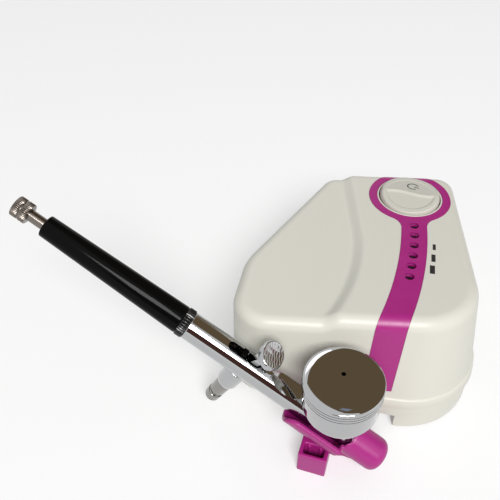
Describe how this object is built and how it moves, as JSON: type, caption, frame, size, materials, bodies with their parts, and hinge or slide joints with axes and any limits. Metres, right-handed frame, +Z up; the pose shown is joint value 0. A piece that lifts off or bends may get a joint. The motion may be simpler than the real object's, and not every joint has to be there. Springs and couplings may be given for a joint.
{
  "type": "airbrush compressor",
  "caption": "Small desktop airbrush compressor with rocker button and striped trim, its airbrush resting nose-down in a plug-in holder.",
  "frame": {"origin": "centre of the whole object's footprint, on the surface it stands on", "axes": "+Z up, -Y the front of the compressor, +X to the right as seen from the front"},
  "size_m": [0.203, 0.1576, 0.1001],
  "materials": {
    "ivory_plastic": "gloss moulded",
    "magenta_plastic": "satin moulded",
    "chrome_plate": "polished",
    "nickel_plate": "bright",
    "black_anodised": "gloss black",
    "steel": "bright",
    "brass_parts": "turned",
    "black_rubber": "matt",
    "dark_plastic": "matt",
    "pale_plastic": "matt",
    "cast_alloy": "cast",
    "board_laminate": "solder mask",
    "lens_plastic": "smoked lens",
    "clear_hose": "silicone",
    "wire_sleeve": "gloss",
    "rotor_iron": "laminated"
  },
  "bodies": {
    "compressor": {"base_tray": "ivory_plastic", "top_cover": "ivory_plastic", "accent_strip": "magenta_plastic", "rubber_feet": "black_rubber", "cover_screws": "steel", "control_board": "board_laminate", "board_screws": "steel", "tact_switches": "dark_plastic", "status_leds": "lens_plastic", "rocker_pin": "steel", "dc_jack": "dark_plastic", "outlet_fitting": "nickel_plate", "motor_can": "steel", "motor_magnets": "dark_plastic", "motor_end_cap": "pale_plastic", "pump_bracket": "dark_plastic", "isolation_mounts": "black_rubber", "crankcase": "cast_alloy", "connecting_rod": "pale_plastic", "diaphragm": "black_rubber", "valve_plate": "pale_plastic", "pump_head": "cast_alloy", "pump_screws": "steel", "intake_filter": "pale_plastic", "air_tube": "clear_hose", "motor_leads": "wire_sleeve"},
    "rocker": {"rocker_button": "ivory_plastic"},
    "crank": {"motor_shaft": "steel", "motor_rotor": "rotor_iron", "eccentric_weight": "steel", "crank_bearing": "steel"},
    "holder": {"airbrush_holder": "magenta_plastic"},
    "airbrush": {"airbrush_body": "chrome_plate", "paint_cup": "chrome_plate", "nozzle": "brass_parts", "nozzle_cap": "chrome_plate", "needle_cap": "chrome_plate", "valve_casing": "chrome_plate", "hose_nipple": "chrome_plate", "valve_spring": "steel", "valve_screw": "brass_parts", "handle_ring": "black_anodised", "handle": "black_anodised", "spring_case": "steel", "needle_spring": "steel"},
    "lid": {"cup_lid": "chrome_plate"},
    "piston": {"valve_piston": "brass_parts"},
    "finger_trigger": {"trigger": "chrome_plate"},
    "needle_group": {"needle": "steel", "needle_chuck": "brass_parts", "needle_tube": "steel", "back_lever": "black_anodised"},
    "knob": {"travel_knob": "nickel_plate"}
  },
  "joints": [
    {"name": "rocker_tilt", "type": "hinge", "parent": "compressor", "child": "rocker", "pos_m": [0.07404, 0.04286, 0.059], "axis": [0.9833, -0.1822, 0], "range_deg": [-3.5, 3.5], "stiffness_Nm_per_rad": 0.15},
    {"name": "motor_spin", "type": "hinge", "parent": "compressor", "child": "crank", "pos_m": [0.03724, 0.00036, 0.026], "axis": [0, 1, 0], "continuous": true},
    {"name": "holder_slide", "type": "slide", "parent": "compressor", "child": "holder", "axis": [0, -1, 0], "range_m": [0, 0.04]},
    {"name": "airbrush_lift", "type": "slide", "parent": "holder", "child": "airbrush", "axis": [-0.8165, 0.3466, 0.4617], "range_m": [0, 0.02]},
    {"name": "lid_lift", "type": "slide", "parent": "airbrush", "child": "lid", "axis": [-0.0187, -0.0425, 0.9989], "range_m": [0, 0.025]},
    {"name": "trigger_press", "type": "slide", "parent": "airbrush", "child": "piston", "axis": [-0.404, 0.2283, -0.8858], "range_m": [0, 0.002], "stiffness_N_per_m": 900, "springref_m": -0.001},
    {"name": "trigger_pull", "type": "hinge", "parent": "piston", "child": "finger_trigger", "pos_m": [-0.00761, -0.0448, 0.04274], "axis": [-0.4124, -0.9098, -0.0464], "range_deg": [0, 22], "stiffness_Nm_per_rad": 0.03, "springref_deg": -5.73},
    {"name": "needle_draw", "type": "slide", "parent": "airbrush", "child": "needle_group", "axis": [-0.8165, 0.3466, 0.4617], "range_m": [0, 0.0037]},
    {"name": "knob_turn", "type": "hinge", "parent": "airbrush", "child": "knob", "pos_m": [-0.02986, -0.03544, 0.057], "axis": [-0.8165, 0.3466, 0.4617], "continuous": true}
  ],
  "couplings": [
    {"joint": "needle_draw", "follows": "trigger_pull", "m_per_rad": 0.009115}
  ]
}
